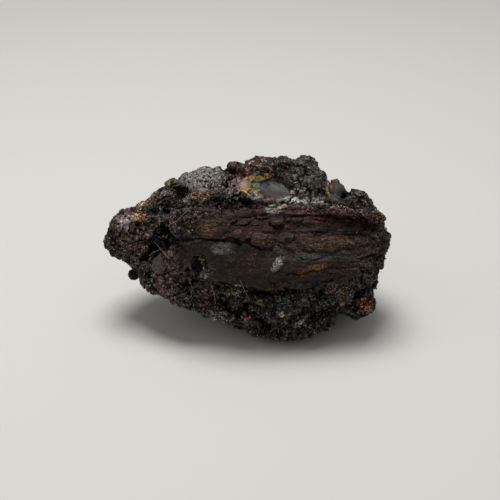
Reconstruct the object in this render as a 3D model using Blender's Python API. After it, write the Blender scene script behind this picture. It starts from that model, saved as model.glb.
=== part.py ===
"""A hand-sized lump of iridescent goethite, one solid.

The stone is described square on to its show face, in three directions:
    along  to the right, over the length of the stone
    up     up the show face
    out    out of the show face, towards someone looking at it
The face leans back by LEAN, so the stone is turned by that angle before it is
set down on the flat patch that it rests on.
"""

import math

import bmesh
import bpy
from mathutils import Matrix, Vector, noise

# Driving dimensions of the stone, in metres and degrees
LEAN = 30.0
REST_DEPTH = 0.0240  # from the middle of the show face down to the resting patch
FUSE_VOXEL = 0.0007
TRIANGLES = 9600
GROUND_SIZE = 0.2
STONE_COLOUR = (0.045, 0.032, 0.026, 1.0)

# Corners of the fractured core: along, up, out
RIM_CORNERS = (
    (-0.0405, 0.0045, 0.0010),
    (-0.0380, 0.0080, -0.0020),
    (-0.0320, 0.0115, -0.0030),
    (-0.0240, 0.0160, -0.0040),
    (-0.0170, 0.0200, -0.0040),
    (-0.0090, 0.0215, -0.0040),
    (0.0040, 0.0240, -0.0050),
    (0.0170, 0.0245, -0.0050),
    (0.0200, 0.0220, -0.0050),
    (0.0290, 0.0150, -0.0030),
    (0.0360, 0.0110, -0.0020),
    (0.0400, 0.0060, 0.0020),
    (0.0410, 0.0020, 0.0040),
    (0.0400, -0.0020, 0.0050),
    (0.0385, -0.0080, 0.0030),
    (0.0350, -0.0190, -0.0030),
    (0.0220, -0.0225, 0.0000),
    (0.0080, -0.0245, 0.0030),
    (-0.0070, -0.0205, 0.0050),
    (-0.0215, -0.0155, 0.0050),
    (-0.0285, -0.0115, 0.0040),
    (-0.0340, -0.0050, 0.0030),
    (-0.0395, 0.0005, 0.0020),
)
FACE_CORNERS = (
    (-0.0195, 0.0090, 0.0180),
    (-0.0185, -0.0030, 0.0190),
    (0.0000, 0.0100, 0.0195),
    (0.0260, 0.0095, 0.0165),
    (0.0375, 0.0060, 0.0100),
    (-0.0050, -0.0110, 0.0210),
    (0.0130, -0.0120, 0.0215),
    (0.0330, -0.0060, 0.0160),
    (0.0385, -0.0005, 0.0100),
    (-0.0330, 0.0020, 0.0075),
    (-0.0270, -0.0090, 0.0095),
    (0.0080, -0.0205, 0.0120),
    (0.0200, -0.0190, 0.0120),
    (0.0320, -0.0170, 0.0060),
    (-0.0080, -0.0170, 0.0120),
    (-0.0120, 0.0155, 0.0070),
    (0.0020, 0.0165, 0.0080),
    (0.0150, 0.0175, 0.0070),
    (0.0270, 0.0125, 0.0070),
)
BACK_CORNERS = (
    (-0.0380, 0.0040, -0.0080),
    (-0.0250, 0.0100, -0.0180),
    (-0.0080, 0.0150, -0.0230),
    (0.0120, 0.0170, -0.0250),
    (0.0280, 0.0100, -0.0230),
    (0.0380, 0.0030, -0.0120),
    (0.0350, -0.0140, -0.0150),
    (0.0200, -0.0150, -0.0240),
    (0.0000, -0.0160, -0.0230),
    (-0.0150, -0.0140, -0.0190),
    (-0.0300, -0.0040, -0.0100),
    (0.0050, 0.0020, -0.0300),
    (0.0200, 0.0030, -0.0290),
    (-0.0100, 0.0010, -0.0270),
)

# Rounded masses grown on the core: centre (along, up, out), half sizes, roll in degrees
LUMPS = {
    "nose": ((-0.0362, 0.0028, 0.0030), (0.0076, 0.0076, 0.0080), 0),
    "nose_brow": ((-0.0328, 0.0072, 0.0035), (0.0062, 0.0052, 0.0070), 28),
    "nose_chin": ((-0.0343, -0.0030, 0.0040), (0.0062, 0.0044, 0.0060), -38),
    "nose_bridge": ((-0.0292, 0.0112, 0.0010), (0.0050, 0.0032, 0.0060), 28),
    "shoulder_low": ((-0.0250, 0.0150, 0.0020), (0.0042, 0.0038, 0.0060), 20),
    "shoulder_high": ((-0.0235, 0.0190, -0.0010), (0.0022, 0.0022, 0.0040), 20),
    "grey_block": ((-0.0140, 0.0195, 0.0010), (0.0072, 0.0052, 0.0080), 6),
    "grey_block_tip": ((-0.0098, 0.0222, -0.0010), (0.0022, 0.0028, 0.0050), 0),
    "brown_shelf": ((-0.0135, 0.0135, 0.0090), (0.0078, 0.0034, 0.0052), 4),
    "crown_left": ((-0.0038, 0.0214, 0.0010), (0.0050, 0.0046, 0.0080), 20),
    "red_lumps": ((-0.0022, 0.0182, 0.0060), (0.0042, 0.0044, 0.0052), 0),
    "crown_bridge": ((-0.0002, 0.0226, -0.0020), (0.0052, 0.0032, 0.0060), 15),
    "crown_knuckle": ((0.0042, 0.0244, -0.0020), (0.0046, 0.0038, 0.0070), 10),
    "crown_middle": ((0.0110, 0.0232, -0.0020), (0.0064, 0.0048, 0.0080), 0),
    "crown_right": ((0.0178, 0.0242, -0.0020), (0.0030, 0.0038, 0.0060), -30),
    "crown_end": ((0.0196, 0.0203, 0.0010), (0.0042, 0.0056, 0.0070), 20),
    "charcoal_mass": ((0.0175, 0.0190, 0.0040), (0.0072, 0.0066, 0.0072), 0),
    "granular_apron": ((-0.0035, 0.0140, 0.0110), (0.0064, 0.0040, 0.0050), 0),
    "white_ledge": ((0.0140, 0.0135, 0.0110), (0.0076, 0.0022, 0.0048), -3),
    "white_step": ((0.0070, 0.0110, 0.0150), (0.0050, 0.0020, 0.0040), 4),
    "pebble_bank": ((0.0265, 0.0125, 0.0085), (0.0066, 0.0034, 0.0050), -12),
    "round_knob": ((0.0275, 0.0172, 0.0015), (0.0033, 0.0033, 0.0044), 0),
    "right_shoulder": ((0.0342, 0.0146, 0.0000), (0.0042, 0.0040, 0.0060), -20),
    "right_elbow": ((0.0358, 0.0108, 0.0010), (0.0036, 0.0040, 0.0060), 40),
    "end_high": ((0.0400, 0.0035, 0.0040), (0.0042, 0.0058, 0.0070), 10),
    "end_low": ((0.0384, -0.0045, 0.0040), (0.0036, 0.0044, 0.0070), 0),
    "heel_root": ((0.0368, -0.0112, 0.0010), (0.0034, 0.0050, 0.0060), 8),
    "heel": ((0.0340, -0.0172, 0.0000), (0.0060, 0.0052, 0.0070), 10),
    "belly_right": ((0.0210, -0.0222, 0.0040), (0.0070, 0.0042, 0.0070), 14),
    "belly_middle": ((0.0090, -0.0236, 0.0042), (0.0100, 0.0046, 0.0070), 0),
    "belly_left": ((-0.0020, -0.0208, 0.0060), (0.0074, 0.0040, 0.0070), -24),
    "foot": ((0.0060, -0.0196, -0.0130), (0.0190, 0.0060, 0.0120), 0),
    "keel_right": ((-0.0120, -0.0170, 0.0070), (0.0072, 0.0036, 0.0060), -16),
    "keel_left": ((-0.0215, -0.0138, 0.0070), (0.0070, 0.0036, 0.0060), -26),
    "nodule_rim": ((-0.0252, -0.0084, 0.0066), (0.0090, 0.0084, 0.0058), 0),
    "nodule": ((-0.0246, -0.0076, 0.0072), (0.0060, 0.0072, 0.0052), 8),
    "bead": ((-0.0350, -0.0086, 0.0030), (0.0022, 0.0022, 0.0022), 0),
    "bead_neck": ((-0.0325, -0.0092, 0.0030), (0.0032, 0.0011, 0.0020), -20),
}

# Leaves of the layered slab across the show face: centre, half sizes, roll
LEAVES = {
    "upper_leaf": ((-0.0080, 0.0062, 0.0180), (0.0145, 0.0050, 0.0062), 0),
    "upper_leaf_brow": ((-0.0010, 0.0085, 0.0180), (0.0150, 0.0030, 0.0056), 6),
    "upper_leaf_tongue": ((0.0040, 0.0020, 0.0205), (0.0052, 0.0026, 0.0048), -8),
    "upper_leaf_lip": ((-0.0030, 0.0038, 0.0215), (0.0046, 0.0024, 0.0046), -4),
    "upper_leaf_lobe": ((0.0088, 0.0086, 0.0190), (0.0046, 0.0024, 0.0052), 0),
    "red_rim": ((0.0245, 0.0100, 0.0140), (0.0160, 0.0021, 0.0080), -5),
    "rim_root": ((0.0250, 0.0080, 0.0130), (0.0150, 0.0030, 0.0068), -5),
    "golden_leaf": ((0.0220, 0.0002, 0.0158), (0.0155, 0.0050, 0.0062), 2),
    "lower_leaf": ((-0.0020, -0.0050, 0.0160), (0.0180, 0.0078, 0.0080), -12),
    "orange_leaf": ((0.0200, -0.0065, 0.0162), (0.0140, 0.0044, 0.0058), 10),
    "slab_end": ((0.0345, 0.0008, 0.0120), (0.0055, 0.0056, 0.0066), 0),
    "slab_end_low": ((0.0345, -0.0070, 0.0100), (0.0056, 0.0048, 0.0066), 0),
}

# Hollows pressed into the stone: centre, half sizes of the mouth, roll, depth
HOLLOWS = {
    "notch": ((-0.0070, 0.0250, 0.0000), (0.0012, 0.0040, 0.0100), -20, 0.0022),
    "dark_cavity": ((-0.0152, -0.0060, 0.0200), (0.0024, 0.0038, 0.0090), 20, 0.0080),
    "left_recess": ((-0.0235, 0.0030, 0.0130), (0.0040, 0.0046, 0.0080), 20, 0.0048),
    "recess_tail": ((-0.0275, -0.0010, 0.0110), (0.0028, 0.0030, 0.0080), -50, 0.0020),
    "iris_hollow": ((0.0060, 0.0178, 0.0090), (0.0090, 0.0048, 0.0090), -8, 0.0020),
    "iris_floor": ((0.0010, 0.0172, 0.0080), (0.0050, 0.0034, 0.0060), 0, -0.0012),
    "rim_shadow": ((0.0235, 0.0058, 0.0180), (0.0140, 0.0024, 0.0090), -4, 0.0014),
    "slab_foot": ((0.0050, -0.0145, 0.0190), (0.0120, 0.0014, 0.0080), 0, 0.0020),
    "end_crevice": ((0.0390, -0.0015, 0.0090), (0.0044, 0.0012, 0.0060), 20, 0.0020),
    "heel_waist": ((0.0425, -0.0125, 0.0010), (0.0040, 0.0050, 0.0100), 0, 0.0006),
}

# Smooth places, where the weathering fades: centre, half sizes
CALM = {
    "nodule": ((-0.0246, -0.0076, 0.0130), (0.0066, 0.0074, 0.0070)),
    "iris": ((0.0058, 0.0168, 0.0090), (0.0098, 0.0060, 0.0120)),
    "knob": ((0.0275, 0.0172, 0.0030), (0.0045, 0.0045, 0.0080)),
}

# Rings round the nodule, on the show face: middle, radii, half width, depth
RINGS = ((-0.0246, -0.0076), (0.0063, 0.0086), 0.0007, 0.0008)

# Outline of the layered slab on the show face: centre, half sizes
SLAB_MIDDLE = (0.0090, -0.0015)
SLAB_HALF = (0.0310, 0.0135)
SLAB_FRONT = 0.0090

# Roughness left by weathering: (wavelength, height)
BLEND_STEPS = 5
SWELLS = ((0.0120, 0.0020), (0.0056, 0.0012), (0.0030, 0.0007))
CHUNK_SIZE = 0.0078
CHUNK_TILT = 0.16
CELL_SIZE = 0.0040
CELL_HEIGHT = 0.0008

# Layers of the slab: each leaf overhangs the next one down by LEDGE
SLAB_STRETCH = 3.2
LEDGE = 0.0009
LEDGE_SPACING = 0.0036
LEDGE_WAVE = 0.75
SHEET_TOP = 0.0016  # below this and left of SHEET_END the slab is one plain sheet
SHEET_END = 0.0140


def clear_scene():
    for item in list(bpy.data.objects):
        bpy.data.objects.remove(item)


def mesh_object(name, bm):
    mesh = bpy.data.meshes.new(name)
    bm.to_mesh(mesh)
    bm.free()
    made = bpy.data.objects.new(name, mesh)
    bpy.context.scene.collection.objects.link(made)
    return made


def add_hull(bm, corners):
    """The convex block that the corners span."""
    verts = [bm.verts.new(corner) for corner in corners]
    found = bmesh.ops.convex_hull(bm, input=verts)
    spare = [item for item in found["geom_interior"] if isinstance(item, bmesh.types.BMVert)]
    bmesh.ops.delete(bm, geom=spare, context="VERTS")


def add_ellipsoid(bm, centre, half, roll):
    place = (
        Matrix.Translation(centre)
        @ Matrix.Rotation(math.radians(roll), 4, "Z")
        @ Matrix.Diagonal((*half, 1.0))
    )
    bmesh.ops.create_icosphere(bm, subdivisions=3, radius=1.0, matrix=place)


def blocked_out():
    """The core, the lumps and the leaves, still passing through each other."""
    bm = bmesh.new()
    add_hull(bm, RIM_CORNERS + FACE_CORNERS + BACK_CORNERS)
    for centre, half, roll in (*LUMPS.values(), *LEAVES.values()):
        add_ellipsoid(bm, centre, half, roll)
    bmesh.ops.recalc_face_normals(bm, faces=bm.faces)
    return mesh_object("blocked_out", bm)


def fused(source):
    """One skin around everything, as a bmesh."""
    remesh = source.modifiers.new("Fuse", "REMESH")
    remesh.mode = "VOXEL"
    remesh.voxel_size = FUSE_VOXEL
    graph = bpy.context.evaluated_depsgraph_get()
    bm = bmesh.new()
    bm.from_object(source, graph)
    bpy.data.objects.remove(source)
    return bm


def slab_share(point):
    """1 on the layered slab, 0 on the rest of the stone."""
    along = (point.x - SLAB_MIDDLE[0]) / SLAB_HALF[0]
    up = (point.y - SLAB_MIDDLE[1]) / SLAB_HALF[1]
    inside = min(max((1.15 - math.hypot(along, up)) / 0.3, 0.0), 1.0)
    front = min(max((point.z - SLAB_FRONT) / 0.004, 0.0), 1.0)
    return inside * front


def hollow_depth(point):
    """How far a point of the skin is pressed in by the hollows."""
    total = 0.0
    for centre, half, roll, depth in HOLLOWS.values():
        away = Matrix.Rotation(math.radians(-roll), 3, "Z") @ (point - Vector(centre))
        reach = Vector(away[i] / half[i] for i in range(3)).length
        if reach < 1.0:
            total += depth * (1.0 - reach * reach)
    return total


def calm_share(point):
    """1 in the middle of a smooth place, 0 away from them."""
    most = 0.0
    for centre, half in CALM.values():
        away = point - Vector(centre)
        reach = Vector(away[i] / half[i] for i in range(3)).length
        most = max(most, min(max((1.0 - reach) / 0.35, 0.0), 1.0))
    return most


def ring_depth(point):
    """Grooves between the shells round the nodule."""
    middle, radii, half_width, depth = RINGS
    if point.z < 0.0:
        return 0.0
    reach = math.hypot(point.x - middle[0], point.y - middle[1])
    return sum(depth * max(1.0 - abs(reach - radius) / half_width, 0.0) for radius in radii)


def swell(point):
    """Fractal unevenness, positive outwards."""
    return sum(height * noise.noise(point / wavelength) for wavelength, height in SWELLS)


def cells(point):
    """Low domes that meet in creases, as on a botryoidal crust."""
    nearest = noise.voronoi(point / CELL_SIZE)[0][0]
    return CELL_HEIGHT * (0.45 - nearest)


def chunks(point):
    """Broken facets: every cell of the stone is a plane with a slant of its own."""
    seed = noise.voronoi(point / CHUNK_SIZE)[1][0]
    slant = noise.cell_vector(seed * 7.3) * 2.0 - Vector((1.0, 1.0, 1.0))
    return CHUNK_TILT * slant.dot(point - seed * CHUNK_SIZE)


def ledges(point):
    """Thin leaves, each coming forward towards its lower edge and stepping back there."""
    stretched = Vector((point.x / SLAB_STRETCH, point.y, point.z)) / 0.0060
    height = point.y / LEDGE_SPACING + LEDGE_WAVE * noise.noise(stretched)
    plain = min(max((SHEET_TOP - point.y) / 0.002, 0.0), 1.0) * min(max((SHEET_END - point.x) / 0.006, 0.0), 1.0)
    return LEDGE * (1.0 - 0.75 * plain) * (0.5 - height % 1.0)


def relief(point):
    slab = slab_share(point)
    stretched = Vector((point.x / SLAB_STRETCH, point.y, point.z))
    rough = swell(point) + cells(point) + chunks(point)
    layered = 0.6 * swell(stretched) + ledges(point)
    calm = 0.2 + 0.8 * (1.0 - calm_share(point))
    return (rough * (1.0 - slab) + layered * slab) * calm - hollow_depth(point) - ring_depth(point)


def soften(bm):
    bmesh.ops.smooth_vert(bm, verts=bm.verts, factor=0.5, use_axis_x=True, use_axis_y=True, use_axis_z=True)


def weather(bm):
    """Blends the lumps into each other, presses in the hollows and roughens the skin."""
    for _ in range(BLEND_STEPS):
        soften(bm)
    bm.normal_update()
    moves = [vert.normal * relief(vert.co) for vert in bm.verts]
    for vert, move in zip(bm.verts, moves):
        vert.co += move
    soften(bm)


def keep_outer_skin(bm):
    """Drops anything that isn't joined to the largest piece of the skin."""
    left = set(bm.verts)
    pieces = []
    while left:
        start = left.pop()
        piece = {start}
        front = [start]
        while front:
            for edge in front.pop().link_edges:
                for vert in edge.verts:
                    if vert in left:
                        left.remove(vert)
                        piece.add(vert)
                        front.append(vert)
        pieces.append(piece)
    pieces.sort(key=len)
    spare = [vert for piece in pieces[:-1] for vert in piece]
    bmesh.ops.delete(bm, geom=spare, context="VERTS")


def lean_back(bm):
    """Turns the stone from square on to the way it lies."""
    turn = Matrix.Rotation(math.radians(90 - LEAN), 3, "X")
    bmesh.ops.rotate(bm, verts=bm.verts, cent=(0, 0, 0), matrix=turn)


def cut_flat(stone):
    """Cuts away what reaches below the resting patch."""
    bm = bmesh.new()
    below = Matrix.Translation((0, 0, -REST_DEPTH - GROUND_SIZE / 2))
    bmesh.ops.create_cube(bm, size=GROUND_SIZE, matrix=below)
    ground = mesh_object("ground", bm)
    cut = stone.modifiers.new("Cut flat", "BOOLEAN")
    cut.operation = "DIFFERENCE"
    cut.solver = "MANIFOLD"
    cut.object = ground
    graph = bpy.context.evaluated_depsgraph_get()
    bm = bmesh.new()
    bm.from_object(stone, graph)
    bpy.data.objects.remove(stone)
    bpy.data.objects.remove(ground)
    bmesh.ops.dissolve_degenerate(bm, edges=bm.edges, dist=0.00002)
    bmesh.ops.triangulate(bm, faces=bm.faces)
    return bm


def thin_out(stone):
    """Leaves the triangles where the relief needs them."""
    stone.data.calc_loop_triangles()
    thinning = stone.modifiers.new("Thin out", "DECIMATE")
    thinning.ratio = TRIANGLES / len(stone.data.loop_triangles)
    thinning.use_collapse_triangulate = True
    graph = bpy.context.evaluated_depsgraph_get()
    bm = bmesh.new()
    bm.from_object(stone, graph)
    bpy.data.objects.remove(stone)
    return bm


def centre_on_base(bm):
    """Puts the origin under the middle of the stone's box, on the resting patch."""
    middle = []
    for axis in range(2):
        side = [vert.co[axis] for vert in bm.verts]
        middle.append((min(side) + max(side)) / 2)
    shift = Vector((-middle[0], -middle[1], REST_DEPTH))
    bmesh.ops.translate(bm, verts=bm.verts, vec=shift)
    return shift


def stone_material():
    material = bpy.data.materials.new("goethite")
    material.use_nodes = True
    shader = material.node_tree.nodes["Principled BSDF"]
    shader.inputs["Base Color"].default_value = STONE_COLOUR
    shader.inputs["Roughness"].default_value = 0.6
    return material


def main():
    clear_scene()
    bm = fused(blocked_out())
    weather(bm)
    keep_outer_skin(bm)
    lean_back(bm)
    bm = thin_out(mesh_object("blocked_out", bm))
    bm = cut_flat(mesh_object("blocked_out", bm))
    keep_outer_skin(bm)
    shift = centre_on_base(bm)
    bmesh.ops.recalc_face_normals(bm, faces=bm.faces)
    stone = mesh_object("goethite", bm)
    stone.data.materials.append(stone_material())
    print("middle of the show face", tuple(round(value, 5) for value in shift))
    print("triangles", len(stone.data.polygons))


if __name__ == "__main__":
    main()
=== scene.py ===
# %% [markdown]
# # A lump of iridescent goethite
# The object is a natural stone as long as a finger: a layered slab across its
# show face, a granular crust round it, and one small hollow with an oily film.
# A measured solid of it is loaded first. It stays hidden, and a finely meshed
# skin is made from it, so that the look keeps the true size.

# %% Load the measured solid
import math

import bmesh
import bpy
import numpy as np
from mathutils import Matrix, Vector, noise


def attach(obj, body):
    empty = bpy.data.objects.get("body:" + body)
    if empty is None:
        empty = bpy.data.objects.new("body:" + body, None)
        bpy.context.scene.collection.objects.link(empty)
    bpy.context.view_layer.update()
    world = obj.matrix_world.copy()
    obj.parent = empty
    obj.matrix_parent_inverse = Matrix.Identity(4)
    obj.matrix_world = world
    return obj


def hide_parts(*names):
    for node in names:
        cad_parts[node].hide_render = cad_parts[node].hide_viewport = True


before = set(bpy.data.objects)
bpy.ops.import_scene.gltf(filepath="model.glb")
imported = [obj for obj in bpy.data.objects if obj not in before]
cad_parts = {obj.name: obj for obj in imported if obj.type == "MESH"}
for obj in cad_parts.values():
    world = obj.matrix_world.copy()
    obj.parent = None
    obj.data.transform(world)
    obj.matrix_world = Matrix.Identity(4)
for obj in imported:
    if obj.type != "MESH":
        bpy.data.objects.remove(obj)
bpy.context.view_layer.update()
print("nodes", list(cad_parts))

# %% [markdown]
# The stone is easiest to describe square on to its show face, which leans back
# by 30 degrees. Places on it are given in millimetres: along the stone, up the
# face and out of it, as an eye sees them from where the picture was taken. A
# point nearer the eye looks further from the middle, so that is allowed for.

# %% Measure on the show face
MM = 0.001
LEAN = math.radians(30)
FACE_MIDDLE = np.array((-0.00014, -0.003, 0.024))
EYE_DISTANCE = 0.367
OUT = np.array((0.0, -math.cos(LEAN), math.sin(LEAN)))
UP = np.array((0.0, math.sin(LEAN), math.cos(LEAN)))
ALONG = np.array((1.0, 0.0, 0.0))


def on_the_face(points):
    """Millimetres along, up and out, for an array of points."""
    away = points - FACE_MIDDLE
    out = away @ OUT
    nearer = EYE_DISTANCE / (EYE_DISTANCE - out)
    return away @ ALONG * nearer / MM, away @ UP * nearer / MM, out / MM


def step(low, high, value):
    """0 below low, 1 above high and smooth between them."""
    share = np.clip((value - low) / (high - low), 0.0, 1.0)
    return share * share * (3.0 - 2.0 * share)


# %% Helpers for meshes and objects
def mesh_of(name, bm):
    """The mesh of a bmesh, which is freed."""
    mesh = bpy.data.meshes.new(name)
    bm.to_mesh(mesh)
    bm.free()
    return mesh


def put(name, data):
    """An object of the data, in the scene."""
    made = bpy.data.objects.new(name, data)
    bpy.context.scene.collection.objects.link(made)
    return made


def tell(name, values):
    print(name, values.min().round(2), "to", values.max().round(2), "mm")


# %% [markdown]
# The solid's facets are too large to carry grains. A voxel remesh lays an even
# net of small faces over it, the usual start for a stone, because its faces
# follow no edge that a chisel would have left.

# %% Lay a fine net over the solid
NET = 0.0003
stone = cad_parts["goethite"]
bm = bmesh.new()
bm.from_mesh(stone.data)
bmesh.ops.remove_doubles(bm, verts=bm.verts, dist=0.00001)
skin = put("goethite_skin", mesh_of("goethite_skin", bm))
net = skin.modifiers.new("Net", "REMESH")
net.mode = "VOXEL"
net.voxel_size = NET
soften = skin.modifiers.new("Soften", "SMOOTH")
soften.factor = 0.5
soften.iterations = 5
graph = bpy.context.evaluated_depsgraph_get()
skin.data = bpy.data.meshes.new_from_object(skin.evaluated_get(graph))
skin.modifiers.clear()


def read_rows(name):
    """The places ("co") or the normals ("normal") of the net, one row for each point."""
    rows = np.empty(len(skin.data.vertices) * 3)
    skin.data.vertices.foreach_get(name, rows)
    return rows.reshape(-1, 3)


points = read_rows("co")
normals = read_rows("normal")
ends = np.empty(len(skin.data.edges) * 2, dtype=np.int64)
skin.data.edges.foreach_get("vertices", ends)
first, second = ends.reshape(-1, 2).T
count = len(points)
neighbours = np.bincount(ends, minlength=count)


def smoothed(places, rounds):
    """The net after every point has moved to the middle of its neighbours, over and over."""
    for _ in range(rounds):
        columns = [
            np.bincount(first, column[second], count) + np.bincount(second, column[first], count)
            for column in places.T
        ]
        places = 0.5 * places + 0.5 * np.stack(columns, axis=1) / neighbours[:, None]
    return places


print("net of", count, "points")

# %% [markdown]
# Relief and colour both follow the same regions, so each region is worked out
# once, as a share from 0 to 1 at every point. Noise frays the edges, because
# no border on a stone is a clean oval.

# %% Noise sampled at every point
along, up, out = on_the_face(points)
facing = step(0.05, 0.4, normals @ OUT) * step(-9.0, -4.0, out)
EVEN = (1.0, 1.0, 1.0)


def scaled(size, stretch):
    """Every point's place for a pattern. stretch works along, up and out of the show face."""
    return np.stack((along / stretch[0], up / stretch[1], out / stretch[2]), axis=1) / size


def field(size, stretch=EVEN, shift=0.0, octaves=1):
    """Soft noise from -1 to 1."""
    places = (scaled(size, stretch) + shift).tolist()
    if octaves == 1:
        return np.array([noise.noise(place) for place in places])
    return np.array([noise.fractal(place, 0.9, 2.1, octaves) for place in places])


fray_wide = field(5.0, shift=3.1)
fray_up = field(4.0, shift=11.7)
fray_fine = field(1.3, shift=7.7, octaves=3)
wiggle = np.stack((field(1.6, shift=80.0), field(1.6, shift=83.0), field(1.6, shift=86.0)), axis=1)


def chance(seeds, turn):
    """A number from 0 to 1 for every seed, always the same one."""
    return np.abs(np.sin(seeds @ np.array((12.99, 78.23, 37.72)) + turn) * 43758.55) % 1.0


# %% Cells for facets and cracks
def cells(size, stretch=EVEN, shift=0.0, bent=0.5):
    """For every point: distance to the middle of its cell, the gap to the next cell, and a facet."""
    places = scaled(size, stretch) + bent * wiggle / max(size, 1.6) + shift
    found = [noise.voronoi(place) for place in places.tolist()]
    near = np.array([distances[0] for distances, _ in found])
    gap = np.array([distances[1] for distances, _ in found]) - near
    seeds = np.array([tuple(middles[0]) for _, middles in found])
    slant = np.stack([chance(seeds, turn) for turn in (1.0, 2.0, 3.0)], axis=1) - 0.5
    facet = chance(seeds, 4.0) - 0.5 + 1.6 * ((places - seeds) * slant).sum(axis=1)
    return near, gap, facet


# %% Frayed ovals and lines on the show face
grit = field(0.55, shift=15.3, octaves=2)


def oval(centre, half, roll, fray):
    """Places across and up a frayed oval of the show face, and the reach: 1 on its edge."""
    turn = math.radians(roll)
    x = along - centre[0] + fray * half[0] * fray_wide
    y = up - centre[1] + fray * half[1] * fray_up
    across = (x * math.cos(turn) + y * math.sin(turn)) / half[0]
    upward = (y * math.cos(turn) - x * math.sin(turn)) / half[1]
    return across, upward, np.hypot(across, upward) + fray * fray_fine


def region(centre, half, roll=0.0, soft=0.4, fray=0.25, grain=0.0):
    """Share of every point in a frayed oval on the show face."""
    reach = oval(centre, half, roll, fray)[2] + grain * grit
    return 1.0 - step(1.0 - soft, 1.0 + soft, reach)


def beside(corners, width):
    """1 on a wandering line through the corners, 0 further from it than width."""
    x = along + 0.7 * fray_wide + 0.35 * fray_fine
    y = up + 0.7 * fray_up + 0.35 * grit
    nearest = np.full(count, np.inf)
    for (x1, y1), (x2, y2) in zip(corners, corners[1:]):
        run, climb = x2 - x1, y2 - y1
        share = np.clip(((x - x1) * run + (y - y1) * climb) / (run * run + climb * climb), 0.0, 1.0)
        nearest = np.minimum(nearest, np.hypot(x - x1 - share * run, y - y1 - share * climb))
    return (1.0 - step(0.0, width, nearest)) * facing


# %% [markdown]
# These are the regions of this stone: the slab with its lower sheet and the
# leaves above it, the hollow with the film, the recess, the grey block, the
# nodule, the knob and the bead. The crust is all that is left over.

# %% The regions of this stone
NODULE_MIDDLE = (-24.6, -8.2)
slab = region((10.0, -0.5), (33.0, 13.5), 0, 0.12, 0.11) * facing
sheet = region((-6.0, -5.5), (15.0, 6.5), -6, 0.3, 0.1) * slab
leaves = slab * (1.0 - sheet)
film = region((5.0, 18.4), (8.6, 4.0), -9, 0.2, 0.1) * facing
film_smooth = region((7.3, 18.4), (5.6, 2.5), -14, 0.25, 0.1) * facing
film_smooth = np.maximum(film_smooth, 0.8 * region((1.2, 19.7), (4.4, 2.8), 12, 0.35, 0.12) * facing)
recess = region((-25.5, 2.8), (4.2, 3.9), 0, 0.3, 0.2) * facing
block = region((-14.6, 21.5), (7.8, 4.6), 4, 0.2, 0.1) * facing
boss_cap = region((-27.6, -5.7), (2.2, 2.7), 10, 0.3, 0.25) * facing
boss_cap = np.maximum(boss_cap, region((-18.2, -5.6), (1.0, 2.2), -8, 0.3, 0.2) * facing)
mica = region((15.9, 14.6), (5.6, 1.3), -3, 0.4, 0.2) + region((8.7, 12.1), (3.4, 1.2), 6, 0.4, 0.2)
mica = np.clip(mica, 0.0, 1.0) * facing
haze = region((-38.0, 8.0), (2.6, 2.0), 15, 0.5, 0.2) * facing
nodule = region(NODULE_MIDDLE, (5.6, 7.0), 8, 0.15, 0.05) * facing
knob = region((27.2, 18.0), (3.2, 3.2), 0, 0.2, 0.05) * facing
bead = region((-35.1, -8.2), (2.0, 2.1), 0, 0.2, 0.0)
plain = (1.0 - facing) * step(-0.05, 0.25, field(10.0, shift=91.0, octaves=2))
crust = 1.0 - np.clip(leaves + sheet + film + nodule + knob + bead, 0.0, 1.0)
print("slab share", round(float(slab.mean()), 3), "crust share", round(float(crust.mean()), 3))

# %% [markdown]
# The facets of the solid are too bold for the slab. So its points go most of
# the way to a smoothed net, and then towards one gently bent sheet, fitted to
# the slab by least squares. A few swells move whole forms out or in after that.

# %% Flatten the slab and set the swells
FLATTENING_ROUNDS = 150
SLAB_FLATNESS = 0.85
NODULE_FLATNESS = 0.5
flattened = smoothed(points, FLATTENING_ROUNDS)
flatness = np.clip(SLAB_FLATNESS * slab + NODULE_FLATNESS * nodule, 0.0, 1.0)
points = points + flatness[:, None] * (flattened - points)
terms = np.stack((np.ones(count), along, up, along * along, along * up, up * up), axis=1)
in_slab = slab > 0.6
bent_plane, *_ = np.linalg.lstsq(terms[in_slab], out[in_slab], rcond=None)
BULGE_LIMIT = 3.0
BULGE_SHARE = 0.6
bulge = np.clip(terms @ bent_plane - out, -BULGE_LIMIT, BULGE_LIMIT)
points = points + OUT * (BULGE_SHARE * slab * bulge * MM)[:, None]
SWELLS = (
    ("crown shoulder", (-2.6, 26), (3.4, 2.6), 1),
    ("ball of the crown", (3.4, 29), (3, 2.6), -0.7),
    ("crown end", (21.8, 26.6), (2.2, 2.6), -0.8),
    ("nose", (-37, 1.6), (5.5, 6), 0.9),
    ("blue hollow", (-15.6, -5.9), (1.4, 2.5), -0.7),
)
for name, centre, half, height in SWELLS:
    points = points + normals * (height * MM * region(centre, half, 0, 0.6, 0.0))[:, None]
tell("bulge", bulge)

# %% [markdown]
# The crust is botryoidal: masses as big as a fingertip, lumps on them, and
# grains on those, each size meeting its own kind in thin cracks. Cells of four
# sizes make that. The distance to a cell's centre gives a rounded top, a random
# slant a broken facet, and the gap to the next cell the crack. The cracks come
# and go, so that no pattern shows.

# %% Masses, lumps and grains of the crust
open_cracks = 0.25 + 0.75 * step(-0.2, 0.3, field(6.0, shift=19.0))


def crust_layer(size, shift, bent, facet, dome, crack, width):
    """One size of cell: its facets, its rounded tops and the cracks round it, in millimetres."""
    cell_near, cell_gap, cell_facet = cells(size, shift=shift, bent=bent)
    groove = (1.0 - step(0.0, width / size, cell_gap)) * open_cracks
    return facet * cell_facet + dome * (0.45 - cell_near) - crack * groove, groove, cell_facet


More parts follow.
